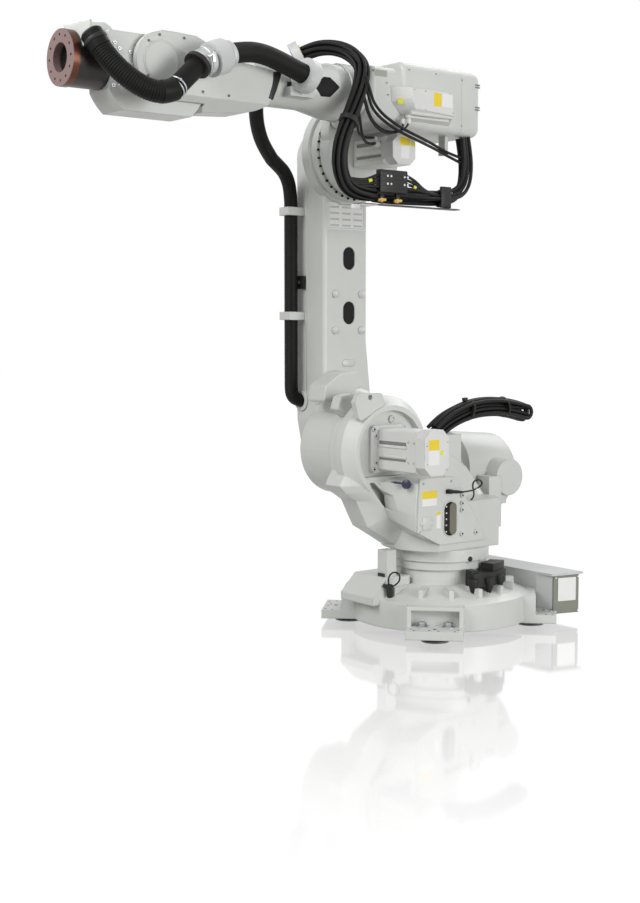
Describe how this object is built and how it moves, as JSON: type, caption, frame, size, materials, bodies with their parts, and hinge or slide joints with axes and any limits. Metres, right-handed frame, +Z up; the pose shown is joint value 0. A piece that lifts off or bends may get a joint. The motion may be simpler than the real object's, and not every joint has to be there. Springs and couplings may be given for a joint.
{
  "type": "industrial robot arm",
  "caption": "Jointed floor-mounted industrial robot arm with a rear balancing cylinder, motors on the joints, a hose package and a round tool flange.",
  "frame": {"origin": "on the floor, at the centre of the foot bolts and on the vertical turning axis", "axes": "+Z up along the turning axis, +X forward along the arm at rest, +Y to the robot's left"},
  "size_m": [2.4516, 0.9263, 2.4657],
  "materials": {
    "paint": "satin",
    "sheet": "satin",
    "dark_frame": "satin",
    "motor": "satin",
    "black": "matte",
    "rubber": "matte",
    "steel": "satin",
    "bronze": "satin",
    "dark_steel": "satin"
  },
  "bodies": {
    "base": {"base_casting": "paint", "levelling_pads": "steel", "connector_box": "sheet", "connector_box_cover": "sheet", "connector_end_plate_left": "dark_frame", "connector_end_plate_right": "dark_frame", "axis1_stops": "black", "stop_post": "paint"},
    "frame": {"turntable_ring": "paint", "frame_casting": "paint", "lifting_lug": "paint", "axis2_stop_block": "paint", "axis2_motor": "motor", "axis2_motor_cap": "motor", "side_cover_plate": "paint", "balancer_cylinder": "paint", "balancer_end_cap": "paint", "balancer_rod": "steel", "balancer_bracket": "paint", "hank_bracket": "paint", "cable_hank": "rubber"},
    "lower_arm": {"lower_arm_casting": "paint", "arm_bosses": "paint", "arm_stop_shroud": "paint", "hose_clamp_upper": "paint", "hose_clamp_lower": "paint", "release_box": "black", "instruction_plate": "sheet", "axis3_gearbox": "paint", "arm_hose": "rubber", "axis3_hose": "rubber"},
    "upper_arm": {"arm_housing": "paint", "axis3_motor": "motor", "axis3_motor_cap": "motor", "axis4_motor_cover": "paint", "rear_cover": "paint", "hanging_bracket": "paint", "cable_tray": "steel", "connector_block": "black", "front_cable_bundle": "rubber", "rear_cable_loop": "rubber", "top_cable_bundle": "rubber", "axis4_hose": "rubber"},
    "forearm": {"forearm_tube": "paint", "forearm_shell": "paint", "axis5_cover_left": "paint", "axis5_cover_right": "paint", "swivel_joint": "sheet", "swivel_bracket": "steel", "hose_reducer": "rubber", "forearm_hose": "rubber", "hose_ring_front": "steel", "hose_ring_rear": "steel", "wrist_hose": "rubber"},
    "wrist": {"wrist_housing": "paint", "turning_disc": "dark_steel", "hose_bracket": "steel"},
    "tool": {"tool_flange": "bronze"}
  },
  "joints": [
    {"name": "axis_1", "type": "hinge", "parent": "base", "child": "frame", "pos_m": [0, 0, 0], "axis": [0, 0, 1], "range_deg": [-170, 170]},
    {"name": "axis_2", "type": "hinge", "parent": "frame", "child": "lower_arm", "pos_m": [0.32, 0, 0.78], "axis": [0, 1, 0], "range_deg": [-65, 85]},
    {"name": "axis_3", "type": "hinge", "parent": "lower_arm", "child": "upper_arm", "pos_m": [0.32, 0, 2.06], "axis": [0, -1, 0], "range_deg": [-70, 180], "deforming": ["axis3_hose"]},
    {"name": "axis_4", "type": "hinge", "parent": "upper_arm", "child": "forearm", "pos_m": [0.6, 0, 2.26], "axis": [1, 0, 0], "range_deg": [-300, 300], "deforming": ["axis4_hose", "top_cable_bundle"]},
    {"name": "axis_5", "type": "hinge", "parent": "forearm", "child": "wrist", "pos_m": [1.487, 0, 2.26], "axis": [0, 1, 0], "range_deg": [-120, 120], "deforming": ["wrist_hose"]},
    {"name": "axis_6", "type": "hinge", "parent": "wrist", "child": "tool", "pos_m": [1.843, 0, 2.26], "axis": [1, 0, 0], "range_deg": [-360, 360]}
  ]
}
